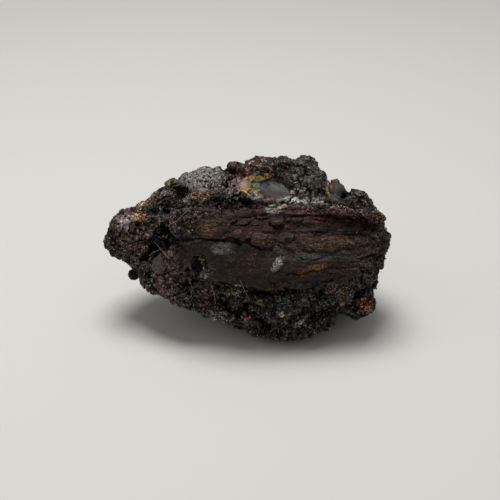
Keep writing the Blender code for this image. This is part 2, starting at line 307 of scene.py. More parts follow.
masses, mass_cracks, mass_tone = crust_layer(8.0, 1.7, 1.3, 1.2, 0.2, 1.1, 0.7)
clumps, clump_cracks, clump_tone = crust_layer(3.8, 5.3, 0.9, 0.7, 0.1, 0.7, 0.5)
lumps = crust_layer(1.8, 7.3, 0.7, 0.18, 0.0, 0.0, 0.35)[0]
grains = crust_layer(0.85, 9.1, 0.3, 0.08, 0.0, 0.0, 0.25)[0]
wall = region((16.0, 22.5), (7.5, 6.0), -30, 0.5, 0.3) * facing
masses *= 1.0 - 0.5 * step(-26.0, -36.0, along)
clumps *= 1.0 - 0.5 * wall
# The crack share is used below only for painted shade in the cracks.
cracks = crust * np.clip(0.8 * mass_cracks + 0.8 * clump_cracks, 0.0, 1.0) * (1.0 - 0.6 * wall)
rough = field(2.6, shift=2.2, octaves=5)
crinkle = np.abs(field(1.9, shift=25.0, octaves=4))
pocks = -0.7 * step(0.3, 0.5, field(1.7, shift=21.0, octaves=2))
sugar = np.random.default_rng(7).normal(0.0, 0.04, count)
creases = 1.0 - step(0.0, 0.09, crinkle)
crust_relief = masses + clumps + lumps + grains + 0.12 * rough - 0.16 * creases + pocks + sugar
tell("crust relief", crust_relief)

# %% [markdown]
# The slab is a stack of thin leaves seen at their broken edges. Each leaf comes
# forward towards its lower edge and steps back there, a saw-tooth up the face.
# The leaves climb towards the right, and noise stretched along the stone bends
# them and makes them run out, so that no ledge goes the whole way across.

# %% Ledges of the slab
climb = 5.0 * step(-8.0, 14.0, along) * step(-3.0, 5.0, up)
flow = up - climb


def ledges(spacing, height, wave, shift):
    bend = field(6.0, (2.4, 1.0, 1.0), shift)
    slip = field(2.2, (1.8, 1.0, 1.0), shift + 4.0)
    rise = flow / spacing + wave * bend + 0.6 * slip
    run_out = step(-0.15, 0.3, field(4.5, (1.6, 0.8, 1.0), shift + 9.0))
    tooth = rise % 1.0
    return height * run_out * (0.5 - tooth - 0.55 * step(0.88, 1.0, tooth))


broad = ledges(3.1, 0.34, 0.9, 30.0)
thin = ledges(1.35, 0.24, 0.9, 50.0)
hair = ledges(0.75, 0.14, 0.7, 70.0)
flakes = field(2.0, (2.4, 1.0, 1.0), 14.0, octaves=4)
threads = field(0.8, (8.0, 1.0, 1.0), 28.0, octaves=3) * step(4.0, 14.0, along)
leaf_gap, leaf_facet = cells(3.4, (2.6, 1.0, 1.0), 17.0, 1.0)[1:]
flaking = 0.5 * leaf_facet - 0.4 * (1.0 - step(0.0, 0.1, leaf_gap)) * open_cracks
layering = 0.3 + 0.5 * step(-4.0, 8.0, along)
leaf_relief = (broad + thin + hair) * layering + 0.25 * flakes + 0.7 * flaking
leaf_relief += 0.15 * threads + 0.6 * sugar
sheet_swell = field(4.5, (1.8, 1.0, 1.0), 44.0, octaves=2)
sheet_relief = 0.35 * sheet_swell + 0.14 * flakes + 0.1 * rough + 0.25 * grains
tell("leaf relief", leaf_relief)

# %% [markdown]
# Some shapes on the slab are too plain to leave to chance. The tongues are the
# rounded ends of leaves, each with a groove under its lower edge, and the seams
# are the long lines where one layer has come away from the next.

# %% Tongues and seams
TONGUES = (
    ("upper lip", (-2.8, 4.2), (3.6, 2.1), -10, 0.9),
    ("lower lip", (4.2, 2.4), (4.4, 2.6), -10, 1),
    ("tan lump", (9.3, 8.1), (2.5, 2), 10, 0.8),
    ("lens", (3.2, 11), (3.4, 0.9), 4, 0.3),
    ("right lip", (11.3, 3), (2.9, 1.6), 6, 0.6),
    ("left shoulder", (-11, 6), (5.5, 3), 4, 0.3),
    ("golden leaf", (23, 0.9), (9, 2.6), 3, 0.3),
    ("orange leaf", (20, -5.9), (6.5, 1.8), 11, 0.35),
    ("smooth boss", (-27.6, -5.7), (2.3, 2.8), 10, 0.5),
    ("gold ridge", (4, 21.8), (3.8, 1.3), 8, 0.5),
)
SEAMS = (
    ("step over the sheet", ((-20.5, 2.2), (-14.9, 2.5), (-8.7, 2.1), (-2.5, 0.9)), 0.8, -0.7),
    ("under the left shoulder", ((-3.7, 7.8), (-0.6, 9.6), (2.2, 10.6)), 0.6, -0.8),
    ("under the tan lump", ((-5, 7.2), (-0.9, 6.4), (3.1, 8.6), (6.2, 8.4)), 0.7, -0.9),
    ("under the rim", ((4.4, 10.4), (16.2, 9.6), (30.2, 9.2), (41, 5.6)), 1.1, -0.8),
    ("over the golden leaf", ((13, 4.4), (22, 4.6), (33, 3.8)), 0.7, -0.15),
    ("under the golden leaf", ((10, -0.8), (20, -1.6), (33, -1.3)), 0.7, -0.2),
    ("over the orange leaf", ((12, -4.6), (20, -3.8), (28, -3.4)), 0.5, -0.15),
    ("under the orange leaf", ((13, -8.6), (22, -7.8), (28, -6.2)), 0.8, -0.3),
    ("slab foot", ((-9, -11.4), (-0.6, -13.6), (6, -14.2), (16.2, -14.2), (26, -10.6)), 1, -1.3),
    ("end crevice", ((35.5, -4), (41.5, -3)), 0.9, -1.2),
    ("behind the nose", ((-28.9, 0.8), (-30.9, -1.7), (-33.2, -4.2)), 1.3, -1.2),
    ("cavern in the crown", ((-5.8, 24), (-3.4, 23.1), (-0.8, 22.3)), 1, -1.1),
    ("black line", ((-1.9, 13.7), (2.5, 13.9), (6.2, 14.1)), 0.6, -0.8),
    ("white ridge", ((7.8, 20.5), (10, 18.9), (12.1, 17.1)), 0.4, 0.15),
)
shaped = np.zeros(count)
for name, centre, half, roll, height in TONGUES:
    across, upward, reach = oval(centre, half, roll, 0.2)
    dome = np.sqrt(np.clip(1.0 - reach * reach, 0.0, 1.0))
    groove = (1.0 - step(0.0, 0.28, np.abs(reach - 1.16))) * step(0.2, -0.5, upward)
    shaped += height * (dome - 0.8 * groove) * facing
# The share of the grooved seams is used below only for painted shade in them.
seam_share = np.zeros(count)
for name, corners, width, height in SEAMS:
    line = beside(corners, width)
    shaped += height * line
    if height < 0.0:
        seam_share = np.maximum(seam_share, line)
print("tongues", len(TONGUES), "seams", len(SEAMS))

# %% [markdown]
# The smooth places get little: shallow ripples in the film's hollow, where the
# stone broke like glass, thin skins round the nodule, and small pits on the
# grey block. Then all of it is added up and pushed out along the normals. The
# flat patch under the stone is left alone, so that it still rests.

# %% Add the relief up and push it out
ripples = 0.1 * np.sin((along + 1.4 * up) * 1.5 + 2.0 * fray_wide) + 0.05 * fray_fine
boss = np.hypot((along - NODULE_MIDDLE[0]) / 5.7, (up - NODULE_MIDDLE[1]) / 7.2)
boss += 0.04 * fray_wide + 0.05 * fray_fine
shells = 0.4 * np.sqrt(np.clip(1.0 - boss * boss, 0.0, 1.0))
shells += 0.35 * masses + 0.8 * clumps + lumps + grains + sugar
shells = (shells + 0.2 * rough - 0.16 * creases) * (1.0 - 0.9 * boss_cap)
rim = -0.7 * (1.0 - step(0.0, 0.1, np.abs(boss - 1.04)))
rim -= 0.6 * (1.0 - step(0.0, 0.08, np.abs(boss - 1.34)))
pits = -0.6 * step(0.15, 0.45, field(1.1, shift=33.0, octaves=2))
pits += 0.16 * rough + grains + 0.3 * lumps + 0.7 * sugar
relief = crust * crust_relief * (1.0 - 0.55 * plain) * (1.0 - 0.5 * haze)
relief += leaves * leaf_relief + sheet * sheet_relief
relief += film * (ripples + (1.0 - film_smooth) * 0.6 * (0.3 - crinkle))
relief += (nodule + 0.3 * knob + 0.1 * bead) * shells
relief = relief * (1.0 - block) + 0.7 * pits * block
berries = cells(2.0, shift=61.0, bent=0.4)[0]
relief += recess * 1.1 * (0.45 - berries)
relief += shaped
relief += rim * facing * (1.0 - sheet) * step(-12.0, -20.0, along)
FOOT_FLAT = 0.2
FOOT_ROUGH = 2.0
relief *= step(FOOT_FLAT, FOOT_ROUGH, points[:, 2] / MM)
moved = points + normals * (relief * MM)[:, None]
moved[:, 2] = np.maximum(moved[:, 2], 0.0)
skin.data.vertices.foreach_set("co", moved.ravel())
skin.data.update()
tell("relief", relief)

# %% [markdown]
# Hollows of every size are darker than what stands out, because dirt and
# shadow sit in them. So the finished net is smoothed, as paper laid over it
# would be, and a point's distance below the smoothed net is its depth.

# %% Measure how deep every point lies
outward = read_rows("normal")
NEAR_ROUNDS = 12
FAR_ROUNDS = 70
paper_near = smoothed(moved, NEAR_ROUNDS)
paper_far = smoothed(paper_near, FAR_ROUNDS)
depth_near = ((paper_near - moved) * outward).sum(axis=1) / MM
depth_far = ((paper_far - moved) * outward).sum(axis=1) / MM
for name, depth in (("near", depth_near), ("far", depth_far)):
    print("depth", name, np.percentile(depth, (5, 50, 95)).round(3))

# %% [markdown]
# Goethite is dark brown to black, and what colours it is thin: limonite
# stains, a lilac or golden oxide film, pale mica dust. So the colour is painted
# in two rounds, broad washes and then small stains, each a frayed oval of one
# paint. Some stains are painted shade in hollows, and some are painted
# highlights and a painted sheen. The paints give how much red, green and blue
# comes back, in thousandths.

# %% Paints
PAINTS = {
    "nut brown": (38, 26, 23), "ash grey": (150, 141, 137),
    "dark umber": (24, 18, 16), "rust brown": (50, 26, 19),
    "charcoal": (42, 38, 34), "blue black": (22, 20.5, 20.5),
    "slab brown": (29, 17, 14.5), "slate mauve": (13, 10.4, 9.8),
    "foot brown": (17, 11.8, 10), "purple brown": (22, 13, 12),
    "golden brown": (29, 18, 12), "moss grey": (40, 38, 34),
    "magenta": (90, 30, 48), "rim red": (58, 28, 22),
    "lilac haze": (88, 78, 84), "gold": (270, 160, 65),
    "cream": (330, 290, 210), "warm grey": (70, 62, 55),
    "lichen": (85, 80, 30), "ochre": (120, 62, 26),
    "golden tan": (70, 48, 31), "blue grey": (68, 72, 78),
    "mica white": (280, 278, 255), "red brown": (46, 24, 18),
    "rose tan": (60, 37, 30), "ochre brown": (58, 34, 18),
    "orange": (120, 60, 22), "dark teal": (16, 20, 20),
    "vermilion": (230, 72, 42), "jet": (9, 9, 9),
    "pale grey": (150, 145, 132), "film grey": (40, 42, 38),
    "film gold": (350, 270, 110), "film orange": (300, 165, 72),
    "film green": (185, 230, 130), "film teal": (80, 125, 118),
    "film blue": (46, 50, 76), "film yellow": (500, 420, 190),
    "film sky": (80, 87, 83), "film olive": (230, 205, 145),
    "film rose": (190, 130, 110), "rust black": (22, 10, 8),
    "rose brown": (60, 40, 36), "rose grey": (100, 80, 76),
    "boss brown": (36, 27, 25), "mauve grey": (36, 28, 28),
    "lilac white": (270, 245, 250), "violet black": (14, 11, 15),
    "pitch blue": (5, 5, 12), "slate teal": (38, 44, 44),
    "moss green": (45, 58, 36), "olive brown": (52, 42, 28),
    "olive gold": (100, 70, 10),
}

# %% Washes and stains: middle, half size, roll, paint, strength, softness
WASHES = (
    ("nose", (-37.5, 1.4), (10.1, 13.2), 0, "nut brown", 0.9, 0.5),
    ("grey block", (-14.3, 21.3), (7.5, 4.2), 4, "ash grey", 1, 0.25),
    ("grey block end", (-9.2, 18.3), (4.2, 3.7), 20, "ash grey", 0.6, 0.4),
    ("brown shelf", (-10.3, 13.7), (10.9, 4), 4, "dark umber", 0.8, 0.4),
    ("red lumps", (-0.9, 23.6), (7.2, 4.7), 20, "rust brown", 0.8, 0.5),
    ("charcoal crown", (19, 22.4), (12.8, 8.4), -15, "charcoal", 1, 0.35),
    ("right shoulder", (35.1, 15.6), (9.6, 4.7), -20, "charcoal", 0.9, 0.5),
    ("granular apron", (-7.2, 13.4), (7.8, 3.1), 0, "charcoal", 0.6, 0.5),
    ("lower band", (10.7, -20.4), (31.9, 10.1), 8, "blue black", 1, 0.35),
    ("keel", (-19.6, -18), (14, 6.2), -20, "blue black", 0.7, 0.5),
    ("upper leaf", (-4.4, 7.3), (18, 6.4), 0, "slab brown", 0.9, 0.3),
    ("lower sheet", (-7.8, -1.9), (14, 4.7), 0, "slate mauve", 0.9, 0.3),
    ("sheet foot", (2.2, -8.4), (15.6, 5.6), -4, "foot brown", 0.85, 0.4),
    ("rim hollow", (26.4, 6.5), (14.6, 3.7), 0, "purple brown", 0.95, 0.3),
    ("golden leaf", (23, 0.3), (12.4, 3.7), 2, "golden brown", 0.9, 0.35),
    ("green grey band", (25.8, -3.4), (9.6, 2.5), 4, "moss grey", 0.75, 0.5),
    ("lower leaf", (23.6, -7.8), (11.8, 3.7), 8, "purple brown", 0.8, 0.4),
    ("slab end", (37.6, 0.9), (5.9, 5.6), 0, "nut brown", 0.8, 0.4),
    ("nodule", (-24.9, -8.4), (6.8, 8.1), 0, "nut brown", 0.9, 0.3),
    ("nodule rim", (-31.1, -8.4), (2.5, 5.6), 15, "moss grey", 0.6, 0.5),
)
NOSE_STAINS = (
    ("dark red tip", (-42, 3.7), (2.5, 3.4), 0, "rust black", 0.75, 0.6),
    ("lower chunk", (-34.5, 1.4), (4.2, 4.4), 0, "rose brown", 0.85, 0.5),
    ("magenta edge", (-37.6, 11.3), (2.3, 1.2), 35, "magenta", 0.95, 0.5),
    ("magenta below it", (-40.6, 9.2), (1.8, 0.8), 45, "magenta", 0.6, 0.6),
    # The lilac patch and its pale heart are lilac film with a painted sheen on it.
    ("lilac patch", (-38, 8), (2.9, 2.3), 15, "lilac haze", 0.9, 0.7),
    ("painted sheen in the lilac", (-38.7, 7.6), (1.6, 1.3), 10, "lilac white", 0.4, 0.7),
    ("gold patch", (-34, 8.9), (1.8, 1.5), 0, "gold", 0.95, 0.5),
    # The two cream spots here are painted highlights.
    ("painted highlight on the gold", (-34.2, 9.3), (0.6, 0.6), 0, "cream", 0.8, 0.6),
    ("painted highlight above the gold", (-33.6, 13.2), (1.7, 1.3), 25, "cream", 0.95, 0.5),
    ("orange knob", (-30.6, 13.9), (2.1, 1.5), 20, "ochre", 0.95, 0.5),
    ("knob shadow", (-30.5, 11.7), (2, 1.1), 10, "dark teal", 0.85, 0.4),
    ("grey lump", (-25.8, 15.9), (4.4, 2.5), 28, "rose grey", 0.8, 0.4),
    ("lump shadow", (-23.9, 12.1), (2.8, 1.3), 15, "violet black", 0.85, 0.4),
    ("lichen spot", (-24.3, 19.4), (1.6, 1.1), 20, "lichen", 1, 0.3),
    ("mossy crumbs", (-28.6, 8.7), (4.4, 1.9), 10, "moss grey", 0.55, 0.5),
    # The recess is partly its own blue-black grains and partly painted shade.
    ("recess", (-25.5, 2.8), (4, 3.7), 0, "violet black", 0.95, 0.4),
    ("teal spot", (-28.9, 2.8), (1.1, 1.2), 0, "dark teal", 0.8, 0.6),
    ("grey crumb", (-25.5, 5.3), (0.8, 0.6), 0, "moss grey", 0.8, 0.5),
    # Painted shade in a pocket.
    ("dark pocket", (-20.8, 17.7), (1.4, 1.6), 30, "blue black", 0.85, 0.4),
)
CROWN_STAINS = (
    ("ochre line", (-15.2, 16.8), (4, 0.7), 2, "ochre", 0.8, 0.5),
    ("brown shelf", (-17.4, 13.7), (3.7, 2.2), 0, "olive brown", 0.55, 0.5),
    # Painted shade in the cavern, over red crust.
    ("dark red cavern", (-3.2, 22.9), (2.8, 1.2), -18, "rust black", 0.9, 0.4),
    ("pink lip", (-3.4, 21), (2.6, 0.9), -8, "rose grey", 0.65, 0.6),
    ("red lip", (-5.4, 25.2), (2.2, 0.8), -10, "rust brown", 0.8, 0.6),
    ("pink crust", (-5, 18.7), (2.5, 1.9), 0, "rose grey", 0.6, 0.5),
    ("pink column", (3.4, 25.2), (2.2, 3), -35, "rose grey", 0.75, 0.4),
    ("red in the crown", (11.2, 24.3), (2.2, 1.6), 0, "rust black", 0.65, 0.6),
    ("pale lump", (14.3, 17.3), (1.6, 0.9), 5, "lilac white", 0.65, 0.4),
    ("second pale lump", (16.5, 17.9), (1.1, 0.9), 0, "lilac white", 0.45, 0.5),
    ("grey dot", (18.7, 21), (0.9, 0.9), 0, "pale grey", 0.45, 0.5),
    # Painted shade in a hole.
    ("dark hole", (13.2, 19), (0.7, 1.4), 0, "jet", 0.9, 0.4),
    ("white band", (15.9, 14.6), (5.6, 1.3), -3, "mica white", 0.9, 0.4),
    ("white step", (8.7, 12.1), (3.4, 1.2), 6, "mica white", 0.8, 0.5),
    ("white line", (25.5, 13.1), (5.6, 0.6), -6, "mica white", 0.45, 0.7),
    # Painted shade in the groove of the black line.
    ("black foot", (1.9, 14), (3.7, 1), -3, "violet black", 0.9, 0.4),
    ("gold flake", (24.9, 18.3), (1.2, 2), -5, "gold", 0.95, 0.4),
    # A painted highlight on the gold flake.
    ("painted highlight on the flake", (24.6, 17.7), (0.8, 1.3), -10, "cream", 0.95, 0.4),
    ("knob", (27.4, 18), (2.8, 2.5), 0, "blue black", 0.6, 0.4),
)
FILM_STAINS = (
    ("mauve band", (8.4, 16.1), (3, 0.8), -3, "rose brown", 0.8, 0.4),
    ("pale green band", (1.7, 16), (2.8, 0.8), -5, "mica white", 0.75, 0.4),
    ("grey slope", (7.5, 18.1), (5, 2.1), -16, "film grey", 0.95, 0.3),
    ("pale top", (9, 19), (2.8, 1), -38, "film sky", 0.85, 0.8),
    ("mauve foot", (6.6, 16.9), (3.6, 0.7), -8, "mauve grey", 0.7, 0.8),
    ("blue in the curl", (5, 19.7), (2.1, 1), 10, "film blue", 0.85, 0.4),
    ("gold ridge", (4, 21.6), (3.6, 1.1), 8, "film gold", 0.95, 0.4),
    ("yellow ridge", (3.3, 20.9), (1.5, 0.6), 8, "film yellow", 0.9, 0.4),
    ("orange ridge", (5.3, 22.4), (1.2, 0.6), 10, "film orange", 0.85, 0.4),
    ("orange end", (-0.3, 21.3), (1.6, 0.7), 18, "film orange", 0.95, 0.4),
    ("rose end", (-1.6, 19.2), (0.8, 1.1), 0, "film rose", 0.85, 0.5),
    ("olive body", (0.1, 19.7), (2.1, 1.4), 0, "film olive", 0.95, 0.4),
    ("gold flank", (-1.2, 18.2), (1.5, 0.9), 25, "film orange", 0.8, 0.6),
    ("gold foot", (0.6, 17.6), (1.8, 0.7), 8, "film gold", 0.9, 0.5),
    ("rose sheen", (-0.9, 20), (1.1, 0.8), 30, "film rose", 0.7, 0.6),
    ("green flank", (1.9, 19.6), (0.9, 1), 20, "film green", 0.85, 0.5),
    ("teal flank", (2.8, 19.3), (0.7, 1.2), -20, "film teal", 0.95, 0.5),
    ("brown lip", (2, 17.9), (1, 0.6), -10, "golden tan", 0.85, 0.5),
)
SLAB_STAINS = (
    ("tan specks", (-12.1, 6.5), (3, 2.2), 8, "golden tan", 0.75, 0.6),
    ("olive leaf end", (-18.3, 5.6), (2.5, 2.5), 0, "olive brown", 0.5, 0.6),
    ("left lip", (-2.5, 3.9), (3.4, 2), -14, "rose tan", 0.55, 0.4),
    ("right lip", (4.4, 2.5), (4, 2.2), -12, "rose tan", 0.5, 0.4),
    ("tan lump", (9.5, 7.9), (2.6, 1.7), 10, "golden tan", 0.6, 0.5),
    ("lens", (3.1, 10.9), (2.5, 0.6), 4, "ochre brown", 0.7, 0.4),
    ("green spot", (-15.2, 2.2), (0.9, 0.6), 0, "moss green", 0.6, 0.7),
    ("magenta spot", (-12.8, 2.3), (1.2, 0.8), 0, "magenta", 0.45, 0.7),
    ("blue grey patch", (-8.1, -0.6), (3.4, 1.7), 5, "blue grey", 0.75, 0.6),
    ("red specks", (1.2, -3.4), (2.2, 1.6), 0, "red brown", 0.5, 0.7),
    ("ochre patch", (5.9, -5.9), (2, 1.2), 20, "ochre brown", 0.5, 0.6),
    ("sparkle patch", (9.3, -5.1), (1.2, 2.1), -18, "mica white", 0.8, 0.4),
    ("sparkle foot", (8.2, -7.2), (1, 0.7), 0, "mica white", 0.5, 0.4),
    ("rim", (27.1, 10.6), (14.3, 1.7), -1, "rim red", 0.9, 0.5),
    ("lower rim", (27, 8), (12, 1.6), -2, "rim red", 0.6, 0.6),
    ("rim light", (21.8, 11.8), (7.5, 0.5), 0, "rose tan", 0.6, 0.6),
    ("rim end", (39.2, 10.3), (3.7, 1.9), -25, "red brown", 0.9, 0.4),
    ("orange rim end", (40.7, 8.6), (1.7, 1.1), -35, "ochre", 0.7, 0.6),
    ("teal streaks", (19.3, 5.9), (3.7, 1.6), 3, "slate teal", 0.6, 0.7),
    ("mauve streak", (32.3, 5.4), (4.7, 0.7), -2, "rose tan", 0.65, 0.5),
    ("mauve end", (36.4, 0.9), (4.4, 3.4), 0, "mauve grey", 0.75, 0.5),
    ("golden heart", (23.6, 1.6), (8.4, 1.9), 3, "golden tan", 0.65, 0.5),
    ("tan lens", (16.2, -1.2), (1.2, 0.6), 0, "golden tan", 0.9, 0.4),
    ("teal band", (23, -3.7), (6.5, 1.2), 2, "slate teal", 0.7, 0.5),
    ("orange streak", (20.5, -7.2), (5, 1.2), 14, "ochre", 0.7, 0.4),
    ("orange heart", (21.6, -6.7), (1.9, 0.7), 12, "orange", 0.95, 0.4),
    # Painted shade under the orange leaf.
    ("dark foot", (21.8, -10), (6.8, 1.2), 12, "violet black", 0.6, 0.5),
    # Painted shade in the end crevice.
    ("black crevice", (40.4, -3), (2.8, 0.9), -5, "jet", 1, 0.3),
    ("black edge", (42.9, 0.9), (1.6, 2.8), 0, "jet", 0.8, 0.5),
    ("mossy end", (35.5, -6.5), (4, 2.8), 0, "moss grey", 0.5, 0.6),
    # Painted shade deep in the end.
    ("deep end", (38.3, -11.5), (1.9, 3.4), 0, "violet black", 0.85, 0.5),
)
FOOT_STAINS = (
    ("nodule body", (-24.3, -9.3), (5, 5.9), 10, "rose brown", 0.7, 0.4),
    ("smooth boss", (-27.6, -5.7), (2.2, 2.7), 10, "boss brown", 0.95, 0.3),
    ("orange spot", (-26.4, -2.3), (1.4, 1), 20, "ochre", 0.8, 0.5),
    ("pink lump", (-23.9, -2), (1.3, 1.1), 0, "rose grey", 0.8, 0.4),
    ("nodule red", (-20.5, -6.5), (1.2, 1.2), 0, "rust black", 0.7, 0.6),
    ("magenta streak", (-25.8, -14), (1.6, 0.7), -25, "magenta", 0.6, 0.5),
    ("moss shell", (-30.5, -8.1), (1.2, 2.8), 10, "moss grey", 0.8, 0.4),
    ("pale facet", (-17, -15.5), (2.2, 3.2), 0, "moss grey", 0.75, 0.3),
    ("grey lens", (-18.7, -5.9), (1.4, 1.9), 25, "moss grey", 0.8, 0.3),
    # The wedge is partly blue-black stone and partly painted shade in the hollow.
    ("wedge", (-15.9, -5.6), (2, 3), 32, "pitch blue", 1, 0.25),
    ("pale speckles", (-14, -9), (1.2, 1.2), 0, "pale grey", 0.55, 0.6),
    ("red spot", (-12.8, -17.3), (1.1, 0.9), 0, "vermilion", 0.4, 0.6),
    ("olive gold fleck", (-5.3, -12.8), (1.1, 1.6), 10, "olive gold", 0.9, 0.4),
    ("cream fleck", (-3.4, -12.8), (1.4, 1.1), 15, "cream", 0.85, 0.4),
    ("blue by the fleck", (-2.5, -10.4), (0.8, 1.1), 0, "pitch blue", 0.8, 0.5),
    ("red lump", (-0.3, -21.5), (1.6, 1.1), 0, "vermilion", 0.6, 0.5),
    ("lilac grains", (-8.4, -22.7), (3.7, 1.9), -15, "lilac white", 0.45, 0.7),
    ("lichen streak", (3.7, -17.1), (1.7, 0.9), -30, "lichen", 0.75, 0.5),
    ("moss grains", (10.9, -16), (1.9, 1.9), 0, "moss green", 0.45, 0.7),
    ("cream lump", (10.4, -20.4), (1.2, 0.8), 0, "cream", 0.75, 0.5),
    ("grey lump below", (11.8, -21.9), (1.6, 0.9), 0, "warm grey", 0.6, 0.5),
    ("ochre edge", (12.8, -20.4), (1.1, 0.6), -10, "ochre", 0.8, 0.5),
    ("ringed disc", (19.3, -16.6), (2.3, 2.1), 0, "slate teal", 0.85, 0.3),
    ("lilac spots", (16.3, -23.9), (1.9, 1.2), 10, "lilac white", 0.55, 0.7),
    ("pale ridge", (25.5, -12.8), (3, 1.1), 28, "mauve grey", 0.8, 0.4),
    ("orange thread", (28.8, -15.9), (0.7, 3.3), 2, "ochre", 0.65, 0.6),
    ("striped grey", (30.8, -17.7), (1.6, 3.4), 0, "warm grey", 0.5, 0.7),
    ("red patch", (35.8, -18.3), (2.6, 2.5), 0, "vermilion", 0.9, 0.4),
    ("dark in the red", (36.4, -17.4), (0.9, 1.1), 20, "rust black", 0.8, 0.5),
    ("pale pebbles", (-23.9, -16.8), (4.4, 1.4), -22, "warm grey", 0.5, 0.6),
    ("bead", (-35, -8.1), (1.9, 2.1), 0, "jet", 1, 0.3),
)
# Most dark lines are painted: shadow under the step, lips, ledges, rim and slab foot, and shade in the
# cracks.
STAINED_LINES = (
    ("gold line", ((-1.6, 17.6), (0.3, 16.9), (2.2, 17.3), (3.4, 17.9)), 0.5, "film gold", 0.85),
    ("bright film edge", ((6.8, 21.5), (9.3, 19.7), (12.1, 17.1)), 0.5, "pale grey", 0.5),
    ("dark film edge", ((7.5, 22.4), (10.3, 20.7), (12.4, 18.3)), 0.7, "jet", 0.6),
    ("curl in the film", ((3.7, 19.1), (4.5, 20.2), (6.1, 20.4), (6.8, 19.6), (6.1, 18.7)),
     0.6, "violet black", 0.9),
    ("step over the sheet", ((-19.9, 2.2), (-14.9, 2.5), (-8.7, 2), (-2.5, 1.2)), 0.7, "jet", 0.75),
    ("under the left lip", ((-5.6, 2.8), (-3.7, 1.4), (-0.9, 1.7), (0.6, 3.1)), 0.6, "rust black", 0.85),
    ("under the right lip", ((0.9, 1.2), (4.4, -0.3), (7.8, 0.3)), 0.6, "rust black", 0.85),
    ("under the tan lump", ((6.8, 7.8), (8.4, 6.2), (10.9, 6.4), (12.8, 7.8)), 0.6, "rust black", 0.85),
    ("ledge", ((-6.5, 5.9), (-3.7, 7.8), (-0.6, 9.6), (3.1, 10.1), (6.8, 9.6)), 0.6, "jet", 0.7),
    ("second ledge", ((-5, 7.2), (-0.9, 6.5), (2.5, 8.7), (6.2, 9.3)), 0.5, "rust black", 0.7),
    ("rim shadow", ((13.7, 10.3), (18, 9), (23, 9.3), (27.4, 8.4), (32.3, 7.5), (38.6, 6.5)),
     0.7, "rust black", 0.8),
    ("upper nodule crack", ((-30.5, -2.8), (-27.4, -0.6), (-23.6, 0), (-20.5, -1.6), (-18.3, -4.7)),
     0.6, "jet", 0.85),
    ("nodule crack",
     ((-18, -7.8), (-19, -11.2), (-20.8, -14), (-23.6, -15.6), (-27.4, -14.3), (-30.5, -11.5)),
     0.6, "jet", 0.8),
    ("shell edge", ((-17.1, -9), (-17.7, -12.4), (-19.6, -15.6), (-21.8, -17.1)), 0.5, "pale grey", 0.5),
    ("outer shell edge", ((-15.9, -10.3), (-16.2, -13.4), (-18, -16.5)), 0.5, "jet", 0.6),
    ("keel crack", ((-18, -18.7), (-14, -18.3), (-10.3, -18.7), (-6.8, -19.3), (-3.7, -20.2)),
     0.6, "jet", 0.85),
    ("slab foot", ((-8.1, -12.4), (-2.5, -13.7), (2.5, -14.3), (10, -14.3), (16.8, -14), (23, -12.1)),
     0.9, "jet", 0.9),
    ("nose crack", ((-44.5, 4.7), (-41.7, 3.4), (-39.5, 1.9), (-39.8, -1.6), (-38.9, -4.7)),
     0.6, "jet", 0.7),
    ("brow crack", ((-32.7, 12.1), (-30.5, 10.6), (-27.4, 11.2), (-24.9, 13.7)), 0.6, "jet", 0.6),
)

# %% [markdown]
# Away from the show face there is no picture to follow, so broad noise lays the
# same paints there in the same proportions. Low places are darkened by painted
# shade, and high places are made a little paler by a painted highlight.

# %% Paint every point
def paint_over(colour, name, share):
    return colour + (PAINTS[name] - colour) * share[:, None]


colour = np.tile(PAINTS["nut brown"], (count, 1))
CLOUDS = (
    ("charcoal", 1.0, -0.05, 0.2, 9.0, 41.0, 3),
    ("blue black", 1.0, 0.1, 0.35, 7.0, 47.0, 3),
    ("golden brown", 1.0, 0.22, 0.4, 6.0, 53.0, 3),
    ("warm grey", 0.8, 0.3, 0.5, 5.0, 59.0, 3),
    ("ochre", 0.4, 0.42, 0.6, 3.0, 61.0, 2),
)
for paint, strength, start, full, size, shift, octaves in CLOUDS:
    cloud = field(size, shift=shift, octaves=octaves)
    colour = paint_over(colour, paint, strength * step(start, full, cloud))
colour = paint_over(colour, "slab brown", 0.75 * plain)
for name, centre, half, roll, paint, strength, soft in WASHES:
    share = region(centre, half, roll, 0.7 * soft, grain=0.12) * facing
    colour = paint_over(colour, paint, strength * share)
stains = NOSE_STAINS + CROWN_STAINS + FILM_STAINS + SLAB_STAINS + FOOT_STAINS
patchy = 0.8 + 0.2 * step(-0.25, 0.1, grit)
for name, centre, half, roll, paint, strength, soft in stains:
    share = region(centre, half, roll, 0.6 * soft, 0.22, 0.25) * facing
    colour = paint_over(colour, paint, strength * share * patchy)
for name, corners, width, paint, strength in STAINED_LINES:
    colour = paint_over(colour, paint, strength * beside(corners, width))
# Painted shade: hollows, cracks and grooved seams are darkened, broad deep hollows too. Raised places get a
# painted highlight.
broad_hollow_shade = 0.95 * (1.0 - 0.75 * slab) * step(0.15, 0.9, depth_far)
low = np.clip(step(0.02, 0.18, depth_near) + broad_hollow_shade + 0.5 * seam_share + 0.6 * cracks, 0.0, 1.0)
low *= (1.0 - 0.7 * film) * (1.0 - 0.3 * leaves)
high = step(-0.02, -0.14, depth_near) * step(0.4, -0.3, depth_far)
colour *= (1.0 - 0.75 * low + 0.35 * high * (1.0 - 0.5 * sheet))[:, None]
colour *= (1.0 + crust * (1.0 - block) * np.clip(0.3 * clump_tone + 0.2 * mass_tone, -0.45, 0.6))[:, None]
# Painted shade in the creases of the crust and the nodule.
crease_shade = creases * np.clip(crust + nodule, 0.0, 1.0) * (1.0 - boss_cap) * (1.0 - 0.6 * block)
colour *= (1.0 - 0.5 * crease_shade)[:, None]
colour *= 1.0 - slab[:, None] * np.array((0.24, 0.29, 0.31))
print("washes", len(WASHES), "stains", len(stains), "lines", len(STAINED_LINES))
print("mean paint", colour.mean(axis=0).round(1))

